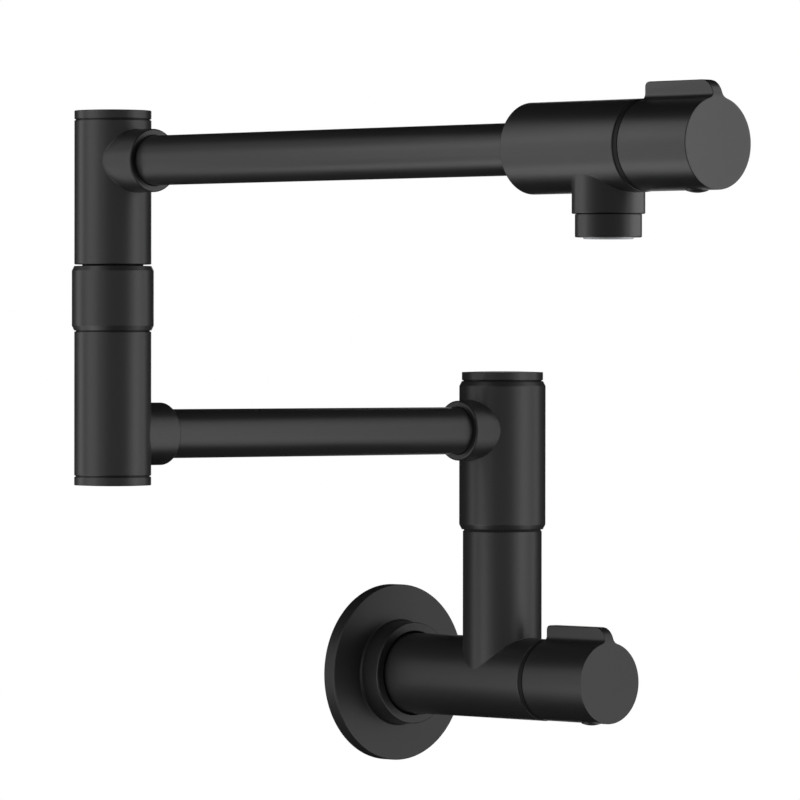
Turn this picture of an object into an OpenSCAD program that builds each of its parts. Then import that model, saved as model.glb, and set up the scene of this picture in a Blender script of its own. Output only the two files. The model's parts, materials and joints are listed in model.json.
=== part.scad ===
// Wall mounted pot filler: a wall inlet with a quarter turn valve, two swinging arms
// joined by a post, and a spout with a second quarter turn valve.
// The origin is the inlet axis on the wall. -Y points out of the wall, +Z is up.
// At rest the lower arm runs along the wall, to -X, and the upper arm out from it, to -Y.

/* [Wall flange] */
// Radius of the wall flange
flange_r = 36.2; // [30:0.2:45]
// Thickness of the flange plate
flange_t = 6.2; // [4.6:0.2:9]
// Width of the flange's collar around the barrel, at its foot
flange_collar_w = 4.8; // [4.2:0.1:7]
// Height of the collar above the plate
flange_collar_h = 9.3; // [6:0.1:10.5]

/* [Inlet body and riser] */
// Radius of both valve barrels
barrel_r = 16.5; // [16:0.1:18]
// Distance from the wall to the riser axis
riser_reach = 68; // [64:1:90]
// Distance from the riser axis to the mouth of the inlet barrel
riser_to_mouth = 26.4; // [24:0.2:28]
// Radius of the riser tube
riser_r = 16; // [15:0.1:16.5]
// Height of the riser's top face above the inlet axis
riser_h = 59.7; // [45:0.1:90]

/* [Riser sleeve] */
// Radius of the sleeve that turns on the riser
sleeve_r = 17.5; // [16.8:0.1:19]
// Height of the lower arm above the sleeve's lower end
sleeve_below_arm = 40.1; // [36:0.1:60]
// Height of the sleeve's upper end above the lower arm
sleeve_above_arm = 19.9; // [18:0.1:26]
// Radius of the cap on the sleeve
sleeve_cap_r = 16.45; // [16:0.05:17.5]

/* [Arms] */
// Radius of both arm tubes
arm_r = 9.5; // [8.5:0.1:10.2]
// Wall of the arm tubes
arm_wall = 1.2; // [0.8:0.1:2]
// Length of the lower arm, from the riser axis to the post axis
lower_arm_l = 206.2; // [120:0.2:320]
// Length of the upper arm, from the post axis to the outlet axis
upper_arm_l = 272.7; // [150:0.1:400]
// Radius of the sockets that hold the arm tubes
socket_r = 12.1; // [11.6:0.1:12.6]
// Distance from the riser axis to the face of the sleeve's socket
sleeve_socket_reach = 25.2; // [24.8:0.1:32]
// Distance from the post axis to the faces of the post's sockets
post_socket_reach = 24.6; // [24:0.1:32]
// Depth to which a tube goes into its socket
socket_depth = 10; // [8:0.5:10.5]

/* [Post] */
// Radius of the two post housings
post_r = 14.8; // [14.2:0.1:15.6]
// Distance from an arm's axis to the capped end of its post housing
housing_end = 15.9; // [15.6:0.1:22]
// Distance from an arm's axis to the other end of its post housing
housing_run = 39.5; // [36:0.5:60]
// Radius of the collar between the housings
collar_r = 15.75; // [15:0.05:17]
// Height of the collar
collar_h = 24.8; // [18:0.2:40]
// Thickness of the end caps at their rim
cap_t = 3.3; // [2.5:0.1:5]
// Open gap where a piece turns on the one below it
swivel_gap = 0.6; // [0.4:0.1:1.2]

/* [Spout] */
// Distance from the outlet axis to the back of the spout barrel
outlet_to_back = 38.9; // [36:0.1:60]
// Distance from the outlet axis to the mouth of the spout barrel
outlet_to_mouth = 18.6; // [17.4:0.1:20]
// Radius of the outlet
outlet_r = 13.05; // [12.4:0.05:14]
// Length of the outlet below the spout barrel
outlet_l = 7.4; // [6:0.1:14]
// Radius of the aerator housing
aerator_r = 11.9; // [11.3:0.05:12.3]
// Height of the aerator housing below the outlet
aerator_h = 8.2; // [6:0.1:11]

/* [Handles] */
// How far the knobs' sides stand back from the barrels'
knob_step = 0.2; // [0:0.1:0.8]
// Length of the knobs
knob_l = 34.3; // [30:0.1:40]
// Gap between barrel and knob
knob_gap = 2.1; // [1.8:0.1:4]
// Thickness of the lever fin on a knob
fin_t = 4.5; // [3:0.1:6]
// Height of the fin above its knob
fin_h = 6; // [5.5:0.1:9]
// Radius of the plug over the handle's screw
plug_r = 4; // [3.5:0.1:4.5]

/* [Valve] */
// Depth of the valve chamber behind the barrel mouth
valve_depth = 42.4; // [40:0.2:42.8]
// Wall of the barrels around the valve chamber
chamber_wall = 4.6; // [4.3:0.1:5.2]
// Radius of the valve stem
stem_r = 4; // [3.5:0.1:4.5]
// Thickness of the ceramic discs
disc_t = 3; // [2.5:0.1:3.5]

/* [Inlet thread] */
// Wall radius of the female half inch inlet thread
inlet_thread_r = 9.3; // [9:0.05:10.5]
// Depth of the inlet thread
inlet_thread_l = 15; // [12:0.5:16]

/* [Swivels] */
// Radius of the riser spigot where the sleeve turns on it
riser_journal_r = 11.5; // [11:0.1:12]
// Radius of the post spigot where the upper housing turns on it
post_journal_r = 9.5; // [9:0.1:10]
// Radius of the water bore in the riser spigot
riser_bore_r = 6.5; // [5:0.1:7]
// Radius of the water bore in the post spigot
post_bore_r = 5; // [4:0.1:5.2]

/* [Clearances] */
// Radial clearance of pieces that turn in each other
running_clear = 0.05; // [0.02:0.01:0.1]
// Radial clearance of pieces that are screwed or brazed together
fit_clear = 0.05; // [0.03:0.01:0.1]
// Axial clearance of faces that slide on each other
slide_clear = 0.1; // [0.05:0.05:0.2]
// Clearance of a seal in its groove
seal_clear = 0.05; // [0.03:0.01:0.08]

/* [Hidden] */
$fn = 96;
over = 0.5;              // overrun of every cut past the face that it opens
edge_steps = 5;          // steps in a rounded edge
dome_steps = 8;          // steps in a dome
seal_fn = 32;

// Heights of the arms and the ends of the pieces on the riser and the post
sleeve_z = riser_h + swivel_gap;
lower_arm_z = sleeve_z + sleeve_below_arm;
sleeve_top_z = lower_arm_z + sleeve_above_arm;
post_face_z = lower_arm_z + housing_run;
seam = 0.4;              // height of the recessed line beside a cap or a collar
seam_depth = 0.55;
collar_z = post_face_z + seam;
collar_top_z = collar_z + collar_h;
upper_housing_z = collar_top_z + swivel_gap;
upper_arm_z = upper_housing_z + housing_run;
post_x = -lower_arm_l;
post_y = -riser_reach;

// Edges as [across, along] sizes of their rounding, and two that are straight bevels
fine_edge = [0.4, 0.4];
sleeve_bevel = [1, 2];
collar_bevel = [0.9, 1.85];
socket_edge = [0.7, 0.7];
cap_edge = [0.3, 0.3];
no_edge = [0, 0];

// Wall flange and its seals
flange_clear = 0.8;      // between the flange's bore and the barrel
flange_bore_r = barrel_r + flange_clear;
flange_collar_r = barrel_r + flange_collar_w;
flange_collar_taper = 0.5;
flange_foot = 0.6;       // fillet where the collar meets the plate
gasket_inset = 3;        // of the gasket from the flange's rim
gasket_w = 6;
gasket_t = 1.6;
flange_seal_grip = 0.05; // between the flange's seal and the barrel
flange_seal_d = 1.8;
flange_seal_back = 5.5;  // of that seal behind the collar's face

// Inlet body and the adapter that it slides on
barrel_back = 2;         // distance of the barrel's back edge from the wall
adapter_wall = 2.6;      // wall of the barrel around the adapter
adapter_bore_r = barrel_r - adapter_wall;
adapter_l = 36.5;
adapter_gap = 0.5;       // between the adapter's end and the floor of its bore
adapter_key_wall = 7;    // of the adapter around its key hole's corners
adapter_hex_r = adapter_bore_r - adapter_key_wall;
adapter_groove_depth = 2; // of the groove that the set screw bites in
adapter_groove_r = adapter_bore_r - adapter_groove_depth;
adapter_groove_w = 6;
adapter_seal_d = 1.8;
adapter_seal_places = [26, 31];
thread_chamfer = 0.8;
passage_r = 6;
body_screw_reach = 19.5; // distance of the set screw under the barrel from the wall
screw_r = 2.5;
screw_key_r = 1.4;
screw_key_l = 1.8;
screw_gap = 0.05;        // between a set screw's tip and what it presses on
body_plug_inset = 1.2;

// Swivels, measured along their axis from the arm's axis
root_r = 10;             // thread of the riser spigot in the riser
root_l = 15.5;
post_root_r = 11;        // bore of the lower housing, and the thread in it
post_root_l = 17.7;
riser_shoulder_r = 14;
riser_shoulder_l = 3;
post_shoulder_r = 11;
shoulder_rise = 0.9;     // of the post spigot's shoulder above the collar's gap
post_shoulder_l = seam + collar_h + swivel_gap + shoulder_rise;
shoulder_clear = 0.4;
chamber_step = 2.5;      // of the swivel's water chamber outside its journal
clip_step = 1.5;         // of the spigot's top end inside its journal
relief_step = 1.5;
relief_below = 12;
relief_above = 4.8;
land_above = 9.4;
port_r = 4.5;
spigot_port_r = 4;
spigot_bore_above = 5.5;
lower_seal_rise = 9;     // of the lower seal above the spigot's shoulder
swivel_seal_d = 2;
washer_t = 1;
washer_clear = 0.1;
clip_t = 1.2;
clip_w = 2.2;
clip_depth = 0.9;
clip_opening = 3;
clip_ear_r = 1.7;
clip_hole_r = 0.8;
clip_play = 0.05;
spigot_end = 1;          // of the spigot past its clip
spigot_chamfer = 0.4;
riser_ring_setback = 0.4; // of the gap ring's rim inside the riser's
post_ring_w = 0.7;

// Caps
cap_dome = 0.35;
cap_seal_d = 1.5;
cap_ring_step = 1;       // of a cap's bore outside the spigot's end
cap_clip_gap = 0.55;     // between a cap's ring and the clip
cap_recess = 1.2;        // of a cap's bore past its ring, for the spigot's end
bottom_plug_l = 6;

// Valve, measured from the barrel's mouth
chamber_r = barrel_r - chamber_wall;
bonnet_wall = 3.6;       // wall of the barrels around the bonnet's thread
bonnet_thread_r = barrel_r - bonnet_wall;
bonnet_thread_l = 7.4;
bonnet_setback = 3;      // of the bonnet's rim inside the barrel's
bonnet_r = barrel_r - bonnet_setback;
bonnet_t = 1.5;
trim_t = 0.5;            // of the trim ring on a barrel's end
trim_setback = 0.3;      // of the trim ring's rim inside the barrel's
trim_clear = 0.2;        // between the trim ring and the bonnet
cartridge_clear = 1.8;   // between the cartridge and its chamber
cartridge_r = chamber_r - cartridge_clear;
cartridge_wall = 1;
cup_r = cartridge_r - cartridge_wall;
cartridge_flange_clear = 0.2;
cartridge_flange_r = bonnet_thread_r - cartridge_flange_clear;
cartridge_flange_t = 3;
cartridge_neck_step = 4.9; // of the cartridge's neck inside the bonnet's thread
cartridge_neck_r = bonnet_thread_r - cartridge_neck_step;
cartridge_neck_out = 5;
cartridge_web = 22;      // depth of the web that the stem's shoulder stops at
cartridge_port_w = 10;
cartridge_port_l = 8;
cartridge_port_back = 23;
cartridge_seal_gap = 0.05;
seat_seal_t = 2.5;
seat_seal_w = 3;
disc_rim = 0.3;          // between the fixed disc and the cartridge
disc_play = 0.6;         // between the turning disc and the cartridge
disc_gap = 0.05;
disc_hub_r = 2;
disc_port_rim = 2.8;     // between a disc's openings and the cartridge
disc_port_r = cup_r - disc_port_rim;
disc_port_angle = 78;
drive_w = 3;
drive_rim = 3.7;         // between the ends of the drive and the cartridge
drive_l = 2 * (cup_r - drive_rim);
drive_t = 1.2;
drive_clear = 0.1;
carrier_rim = 1.7;       // between the stem's carrier and the cartridge
carrier_r = cup_r - carrier_rim;
carrier_t = 3;
spindle_step = 1.5;      // of the stem's spindle outside the stem
spindle_r = stem_r + spindle_step;
stem_flat = 3;           // distance of the stem's flat from its axis
stem_seal_back = 15;
stem_seal_d = 1.2;
stem_out = 27;           // of the stem into the knob
valve_chamber_top = bonnet_thread_l + cartridge_flange_t;

// Handle
knob_r = barrel_r - knob_step;
knob_wall = 6.3;         // wall of the knob around the cartridge's neck
knob_cavity_r = knob_r - knob_wall;
knob_cavity_l = 7.6;
knob_bore_end = 0.5;     // of the bore past the stem's end
knob_edge = [0.4, 0.4];
knob_face_edge = [0.7, 0.7];
fin_front_r = 5.3;
fin_back_r = 1.9;
fin_fillet_r = 2.4;
fin_bevel = 0.4;
fin_sink = 2;            // of the fin into its knob
plug_setback = 10.7;     // of the plug from the knob's front face
plug_inset = 0.7;
plug_head_t = 0.8;
plug_dome = 0.8;
plug_shank_r = 3;
plug_shank_l = 4.5;
plug_hole_clear = 0.15;
plug_gap = 0.3;          // between a plug's shank and the set screw

// Outlet and aerator
aerator_thread_r = 10.5;
aerator_thread_l = 7.3;
aerator_thread_in = 5.8; // length of the housing's thread, short of the gasket
aerator_neck_r = 11.2;
aerator_neck_l = 0.15;
aerator_bore_r = 9;
aerator_lip_r = 7.5;
aerator_lip_t = 1.5;
aerator_edge = [0.5, 0.5];
aerator_top_edge = [0.15, 0.15];
gasket_hole_r = 7;
insert_out = 0.6;        // of the insert below its housing
insert_plate = 3;
insert_wall = 1.2;
insert_cell_r = 0.85;
insert_pitch = 2.1;
insert_rings = 3;
insert_edge = [0.3, 0.3];

// Places of the two valves
inlet_mouth = riser_reach + riser_to_mouth;
spout_mouth = upper_arm_l + outlet_to_mouth;
spout_l = outlet_to_back + outlet_to_mouth;
outlet_drop = barrel_r + outlet_l;

// Colours
black = "#2c2c2d";
brass = "#b5984f";
steel = "#b9bbbd";
rubber = "#1a1a1a";
ceramic = "#e9e6dc";
grey_plastic = "#8d8f91";
dark_plastic = "#515253";

// Points of a rounded edge: a quarter of an ellipse of size e about [r, z], starting at angle a.
// A single step makes a straight bevel.
function rounding(r, z, e, a, steps = edge_steps) = [
    for (i = [0:steps]) let (t = a + 90 * i / steps) [r + e[0] * cos(t), z + e[1] * sin(t)]
];

// Points of a shallow dome of height h from its rim at [r, z], without that point, to the axis
function dome(r, z, h) = [
    for (i = [1:dome_steps]) let (x = r * (1 - i / dome_steps)) [x, z + h * (1 - pow(x / r, 2))]
];

// Points of a square groove that goes in from radius r to radius f, w wide about height z.
// They are walked upward, or downward when w is negative.
function groove(r, f, z, w) = [[r, z - w / 2], [f, z - w / 2], [f, z + w / 2], [r, z + w / 2]];

// Width of the groove for a seal of thickness d
function groove_w(d) = d + 4 * seal_clear;

// A turned piece from z = 0 to h, with rounded or bevelled outer edges
module turned(r, h, foot = no_edge, top = no_edge, steps = edge_steps) {
    rotate_extrude()
        polygon(concat(
            [[0, 0]],
            foot == no_edge ? [[r, 0]] : rounding(r - foot[0], foot[1], foot, -90, steps),
            top == no_edge ? [[r, h]] : rounding(r - top[0], h - top[1], top, 0, steps),
            [[0, h]]
        ));
}

// A hole of radius r from height a to height b
module drill(r, a, b) {
    translate([0, 0, a])
        cylinder(r = r, h = b - a);
}

// A flat ring
module flat_ring(inner_r, outer_r, t) {
    difference() {
        cylinder(r = outer_r, h = t);
        drill(inner_r, -over, t + over);
    }
}

// A round seal, centred on z = 0
module seal(inner_r, outer_r) {
    rotate_extrude()
        translate([(inner_r + outer_r) / 2, 0])
            circle(r = (outer_r - inner_r) / 2, $fn = seal_fn);
}

// A set screw that stands on its tip, with a key hole in its upper end
module set_screw(l) {
    difference() {
        cylinder(r = screw_r - fit_clear, h = l);
        translate([0, 0, l - screw_key_l])
            cylinder(r = screw_key_r, h = screw_key_l + over, $fn = 6);
    }
}

// A domed plug that stands on z = 0, with a shank below it
module plug(shank_l) {
    rotate_extrude()
        polygon(concat(
            [[0, -shank_l], [plug_shank_r, -shank_l], [plug_shank_r, 0], [plug_r, 0], [plug_r, plug_head_t]],
            dome(plug_r, plug_head_t, plug_dome)
        ));
}

// The sunk seat of a plug, from z = 0 up
module plug_seat() {
    drill(plug_r + plug_hole_clear, 0, plug_head_t + over);
}

// Frames of the two valves: the origin is in the barrel's mouth, +Z points out of it, +Y is up
module at_inlet_mouth() {
    translate([0, -inlet_mouth, 0])
        rotate([90, 0, 0])
            children();
}

module at_spout_mouth() {
    translate([post_x, post_y - spout_mouth, upper_arm_z])
        rotate([90, 0, 0])
            children();
}

// Frame of a handle's set screw and plug: +Z points down, out of the knob
module at_handle_screw() {
    translate([0, 0, knob_gap + knob_l - plug_setback])
        rotate([90, 0, 0])
            children();
}

// The same for the set screw under the inlet barrel
module at_body_screw() {
    translate([0, -body_screw_reach, 0])
        rotate([180, 0, 0])
            children();
}

// Frames of the two swivels, and of the outlet
module at_riser(z) {
    translate([0, -riser_reach, z])
        children();
}

module at_post(z) {
    translate([post_x, post_y, z])
        children();
}

module at_outlet(z) {
    translate([post_x, post_y - upper_arm_l, z])
        children();
}

// A socket for an arm tube, and the holes in it, along +Z from the axis that it stands on
module socket(reach) {
    turned(socket_r, reach, top = socket_edge);
}

module socket_holes(reach) {
    drill(arm_r + fit_clear, reach - socket_depth, reach + over);
    drill(port_r, 0, reach);
}

// An arm tube, from z = 0
module arm_tube(l) {
    flat_ring(arm_r - arm_wall, arm_r, l);
}

// The fixed half of a swivel. z = 0 is the face that its shoulder stands on, arm is the
// height of the arm's axis above that face.
module spigot(thread_r, thread_l, shoulder_r, shoulder_l, journal_r, bore_r, arm) {
    end_r = journal_r - clip_step;
    relief_r = journal_r - relief_step;
    seal_floor = journal_r - swivel_seal_d - seal_clear;
    seal_w = groove_w(swivel_seal_d);
    clip_z = clip_height(arm) - clip_play;
    end_z = clip_height(arm) + clip_t + spigot_end;
    difference() {
        rotate_extrude()
            polygon(concat(
                [[0, -thread_l], [thread_r - fit_clear, -thread_l], [thread_r - fit_clear, 0]],
                [[shoulder_r, 0], [shoulder_r, shoulder_l], [journal_r, shoulder_l]],
                groove(journal_r, seal_floor, shoulder_l + lower_seal_rise, seal_w),
                [[journal_r, arm - relief_below], [relief_r, arm - relief_below]],
                [[relief_r, arm + relief_above], [journal_r, arm + relief_above]],
                groove(journal_r, seal_floor, upper_seal_height(arm), seal_w),
                [[journal_r, arm + land_above], [end_r, arm + land_above]],
                groove(end_r, end_r - clip_depth, clip_z + clip_t / 2 + clip_play, clip_t + 2 * clip_play),
                [[end_r, end_z - spigot_chamfer], [end_r - spigot_chamfer, end_z], [0, end_z]]
            ));
        drill(bore_r, -thread_l - over, arm + spigot_bore_above);
        for (turn = [0, 90])
            translate([0, 0, arm])
                rotate([90, 0, turn])
                    cylinder(r = spigot_port_r, h = 2 * journal_r, center = true);
    }
}

// Heights of the upper seal and of the clip above a spigot's foot
function upper_seal_height(arm) = arm + (relief_above + land_above) / 2;
function clip_height(arm) = arm + land_above + slide_clear + washer_t + clip_play;

// What a swivel takes out of the piece that turns on it. z = 0 is that piece's lower face,
// shoulder is how far the fixed shoulder reaches into it, and top is its height.
module swivel_bore(journal_r, shoulder_r, shoulder, arm, top) {
    drill(shoulder_r + shoulder_clear, -over, shoulder + washer_t + 2 * slide_clear);
    drill(journal_r + running_clear, -over, top + over);
    drill(journal_r + chamber_step, arm - relief_below, arm + relief_above);
    drill(journal_r + chamber_step, arm + land_above, top + over);
}

module swivel_seals(journal_r, shoulder_l, arm) {
    for (z = [shoulder_l + lower_seal_rise, upper_seal_height(arm)])
        translate([0, 0, z])
            seal(journal_r - swivel_seal_d, journal_r);
}

// The two washers of a swivel: one on the shoulder, one under the clip
module swivel_washers(journal_r, shoulder_r, shoulder_l, arm) {
    translate([0, 0, shoulder_l])
        flat_ring(journal_r + washer_clear, shoulder_r - washer_clear, washer_t);
    translate([0, 0, arm + land_above + slide_clear])
        flat_ring(journal_r - clip_step + washer_clear, journal_r + clip_step, washer_t);
}

// The ring that closes the open gap above a swivel's fixed piece
module gap_ring(shoulder_r, outer_r) {
    flat_ring(shoulder_r + fit_clear, outer_r, swivel_gap - slide_clear);
}

// An open spring clip with an ear at each end
module swivel_clip(journal_r, arm) {
    inner_r = journal_r - clip_step - clip_depth + clip_play;
    ear_r = inner_r + clip_w - clip_ear_r / 2;
    ear_x = clip_opening / 2 + clip_ear_r;
    ear_y = sqrt(ear_r * ear_r - ear_x * ear_x);
    translate([0, 0, clip_height(arm)])
        difference() {
            union() {
                difference() {
                    flat_ring(inner_r, inner_r + clip_w, clip_t);
                    translate([-ear_x, 0, -over])
                        cube([2 * ear_x, 2 * journal_r, clip_t + 2 * over]);
                }
                for (side = [-1, 1])
                    translate([side * ear_x, ear_y, 0])
                        cylinder(r = clip_ear_r, h = clip_t);
            }
            for (side = [-1, 1])
                translate([side * ear_x, ear_y, 0])
                    drill(clip_hole_r, -over, clip_t + over);
            drill(inner_r, -over, clip_t + over);
        }
}

// A cap with a ring that goes down into the end of a swivel's housing. z = 0 is the end
// face of the housing, arm is how far below it the arm's axis is.
module swivel_cap(r, journal_r, arm) {
    ring_r = journal_r + chamber_step - fit_clear;
    ring_hole_r = journal_r - clip_step + cap_ring_step;
    ring_l = cap_ring_l(arm);
    difference() {
        rotate_extrude()
            polygon(concat(
                [[0, -ring_l], [ring_r, -ring_l]],
                groove(ring_r, cap_groove_r(journal_r), -ring_l / 2, groove_w(cap_seal_d)),
                [[ring_r, 0], [r - seam_depth, 0], [r - seam_depth, seam]],
                rounding(r - cap_edge[0], seam + cap_edge[1], cap_edge, -90),
                rounding(r - cap_edge[0], seam + cap_t - cap_edge[1], cap_edge, 0),
                dome(r - cap_edge[0], seam + cap_t, cap_dome)
            ));
        drill(ring_hole_r, -ring_l - over, -ring_l + cap_recess);
    }
}

// Length of a cap's ring, and the radius of the floor of the groove in it
function cap_ring_l(arm) = arm - clip_height(0) - clip_t - cap_clip_gap;
function cap_groove_r(journal_r) = journal_r + chamber_step - fit_clear - cap_seal_d - seal_clear;

module swivel_cap_seal(journal_r, arm) {
    inner_r = cap_groove_r(journal_r) + seal_clear;
    translate([0, 0, -cap_ring_l(arm) / 2])
        seal(inner_r, inner_r + cap_seal_d);
}

// One valve: every piece is in the frame of the barrel's mouth
fixed_disc_z = -valve_depth + seat_seal_t;
turning_disc_z = fixed_disc_z + disc_t + disc_gap;
carrier_z = turning_disc_z + disc_t + disc_gap;
stem_end = knob_gap + stem_out;

module valve_bore() {
    drill(chamber_r, -valve_depth, over);
    drill(bonnet_thread_r, -valve_chamber_top, over);
}

// Two opposite openings through a ceramic disc
module disc_openings() {
    reach = 2 * disc_port_r;
    half = reach * tan(disc_port_angle / 2);
    for (turn = [0, 180])
        translate([0, 0, -over])
            rotate([0, 0, turn])
                linear_extrude(disc_t + 2 * over)
                    intersection() {
                        difference() {
                            circle(r = disc_port_r);
                            circle(r = disc_hub_r);
                        }
                        polygon([[0, 0], [reach, -half], [reach, half]]);
                    }
}

module seat_seal() {
    translate([0, 0, -valve_depth])
        flat_ring(passage_r, passage_r + seat_seal_w, seat_seal_t);
}

module fixed_disc() {
    translate([0, 0, fixed_disc_z])
        difference() {
            cylinder(r = cup_r - disc_rim, h = disc_t);
            disc_openings();
        }
}

module turning_disc() {
    slot_l = drive_l + 2 * drive_clear;
    slot_w = drive_w + 2 * drive_clear;
    translate([0, 0, turning_disc_z])
        difference() {
            cylinder(r = cup_r - disc_play, h = disc_t);
            rotate([0, 0, 90])
                disc_openings();
            translate([-slot_l / 2, -slot_w / 2, disc_t - drive_t - drive_clear])
                cube([slot_l, slot_w, disc_t]);
        }
}

module cartridge() {
    flange_z = -valve_chamber_top;
    difference() {
        rotate_extrude()
            polygon([
                [cup_r, fixed_disc_z], [cartridge_r, fixed_disc_z], [cartridge_r, flange_z],
                [cartridge_flange_r, flange_z], [cartridge_flange_r, flange_z + cartridge_flange_t],
                [cartridge_neck_r, flange_z + cartridge_flange_t], [cartridge_neck_r, cartridge_neck_out],
                [stem_r + running_clear, cartridge_neck_out], [stem_r + running_clear, -cartridge_web],
                [cup_r, -cartridge_web]
            ]);
        translate([-cartridge_r - over, -cartridge_port_w / 2, -cartridge_port_back - cartridge_port_l])
            cube([2 * (cartridge_r + over), cartridge_port_w, cartridge_port_l]);
    }
}

module cartridge_seal() {
    section = chamber_r - cartridge_r - 2 * cartridge_seal_gap;
    translate([0, 0, -valve_chamber_top - section / 2 - cartridge_seal_gap])
        seal(cartridge_r + cartridge_seal_gap, chamber_r - cartridge_seal_gap);
}

module bonnet() {
    difference() {
        union() {
            translate([0, 0, -bonnet_thread_l])
                cylinder(r = bonnet_thread_r - fit_clear, h = bonnet_thread_l);
            turned(bonnet_r, bonnet_t, top = fine_edge);
        }
        drill(cartridge_neck_r + fit_clear, -bonnet_thread_l - over, bonnet_t + over);
    }
}

module trim_ring() {
    flat_ring(bonnet_r + trim_clear, barrel_r - trim_setback, trim_t);
}

module stem() {
    seal_floor = stem_r - stem_seal_d - seal_clear;
    difference() {
        union() {
            rotate_extrude()
                polygon(concat(
                    [[0, carrier_z], [carrier_r, carrier_z], [carrier_r, carrier_z + carrier_t]],
                    [[spindle_r, carrier_z + carrier_t], [spindle_r, -cartridge_web - slide_clear]],
                    [[stem_r, -cartridge_web - slide_clear]],
                    groove(stem_r, seal_floor, -stem_seal_back, groove_w(stem_seal_d)),
                    [[stem_r, stem_end - fine_edge[1]], [stem_r - fine_edge[0], stem_end], [0, stem_end]]
                ));
            translate([-drive_l / 2, -drive_w / 2, carrier_z - drive_t])
                cube([drive_l, drive_w, drive_t + over]);
        }
        translate([-stem_r, -stem_flat - stem_r, knob_gap + knob_cavity_l - over])
            cube([2 * stem_r, stem_r, stem_out]);
    }
}

module stem_seal() {
    translate([0, 0, -stem_seal_back])
        seal(stem_r - stem_seal_d, stem_r);
}

// The lever fin seen from the front, with the fillets at its foot
module fin_front() {
    side = fin_t / 2;
    fillet_x = side + fin_fillet_r;
    fillet_y = sqrt(pow(knob_r + fin_fillet_r, 2) - fillet_x * fillet_x);
    foot_share = knob_r / (knob_r + fin_fillet_r);
    top = knob_r + fin_h;
    polygon([
        [-side, knob_r - fin_sink], [side, knob_r - fin_sink], [side, top - fin_bevel],
        [side - fin_bevel, top], [fin_bevel - side, top], [-side, top - fin_bevel]
    ]);
    for (s = [-1, 1])
        difference() {
            polygon([
                [0, fillet_y], [s * fillet_x, fillet_y],
                [s * fillet_x * foot_share, fillet_y * foot_share], [0, knob_r - fin_sink]
            ]);
            translate([s * fillet_x, fillet_y])
                circle(r = fin_fillet_r);
        }
}

// What rounding by r takes off a corner whose arc has its middle at [x, y]; way is 1 for a
// right corner and -1 for a left one
module corner_cut(x, y, r, way) {
    translate([x, y])
        mirror([way < 0 ? 1 : 0, 0])
            difference() {
                square(r + over);
                circle(r = r);
            }
}

// The fin seen from the side: x is along the knob, from its back edge, y is up
module fin_side() {
    top = knob_r + fin_h;
    difference() {
        square([knob_l, top]);
        corner_cut(knob_l - fin_front_r, top - fin_front_r, fin_front_r, 1);
        corner_cut(fin_back_r, top - fin_back_r, fin_back_r, -1);
    }
}

module handle() {
    bore_l = stem_end + knob_bore_end - knob_gap - knob_cavity_l;
    difference() {
        union() {
            translate([0, 0, knob_gap])
                turned(knob_r, knob_l, foot = knob_edge, top = knob_face_edge);
            intersection() {
                translate([0, 0, knob_gap])
                    linear_extrude(knob_l)
                        fin_front();
                translate([knob_r, 0, knob_gap])
                    rotate([0, -90, 0])
                        linear_extrude(2 * knob_r)
                            fin_side();
            }
        }
        drill(knob_cavity_r, knob_gap - over, knob_gap + knob_cavity_l);
        difference() {
            drill(stem_r + fit_clear, knob_gap, knob_gap + knob_cavity_l + bore_l);
            translate([-knob_r, -stem_flat - fit_clear - knob_r, knob_gap + knob_cavity_l])
                cube([2 * knob_r, knob_r, knob_l]);
        }
        at_handle_screw() {
            drill(screw_r, 0, knob_r);
            drill(plug_shank_r + plug_hole_clear, plug_floor() - plug_shank_l - plug_gap, knob_r);
            translate([0, 0, plug_floor()])
                plug_seat();
        }
    }
}

// Height of a handle plug's seat above the knob's axis
function plug_floor() = knob_r - plug_inset;

module handle_screw() {
    tip = stem_flat + screw_gap;
    at_handle_screw()
        translate([0, 0, tip])
            set_screw(plug_floor() - plug_shank_l - plug_gap - tip);
}

module handle_plug() {
    at_handle_screw()
        translate([0, 0, plug_floor()])
            plug(plug_shank_l);
}

// Pieces on the wall
module wall_flange() {
    collar_top = flange_t + flange_collar_h;
    color(black)
        rotate([90, 0, 0])
            difference() {
                rotate_extrude()
                    polygon(concat(
                        [[flange_bore_r, 0]],
                        rounding(flange_r - fine_edge[0], fine_edge[1], fine_edge, -90),
                        rounding(flange_r - fine_edge[0], flange_t - fine_edge[1], fine_edge, 0),
                        [[flange_collar_r + flange_foot, flange_t]],
                        [[flange_collar_r, flange_t + flange_foot]],
                        rounding(
                            flange_collar_r - flange_collar_taper - fine_edge[0],
                            collar_top - fine_edge[1], fine_edge, 0
                        ),
                        [[flange_bore_r, collar_top]],
                        groove(
                            flange_bore_r, flange_seal_r() + seal_clear,
                            collar_top - flange_seal_back, -groove_w(flange_seal_d)
                        )
                    ));
                translate([0, 0, -over])
                    flat_ring(
                        flange_r - gasket_inset - gasket_w, flange_r - gasket_inset,
                        gasket_t + over
                    );
            }
}

// Outer radius of the flange's seal
function flange_seal_r() = barrel_r + flange_seal_grip + flange_seal_d;

module flange_gasket() {
    color(rubber)
        rotate([90, 0, 0])
            flat_ring(
                flange_r - gasket_inset - gasket_w + seal_clear,
                flange_r - gasket_inset - seal_clear, gasket_t - seal_clear
            );
}

module flange_seal() {
    color(rubber)
        rotate([90, 0, 0])
            translate([0, 0, flange_t + flange_collar_h - flange_seal_back])
                seal(barrel_r + flange_seal_grip, flange_seal_r());
}

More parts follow.
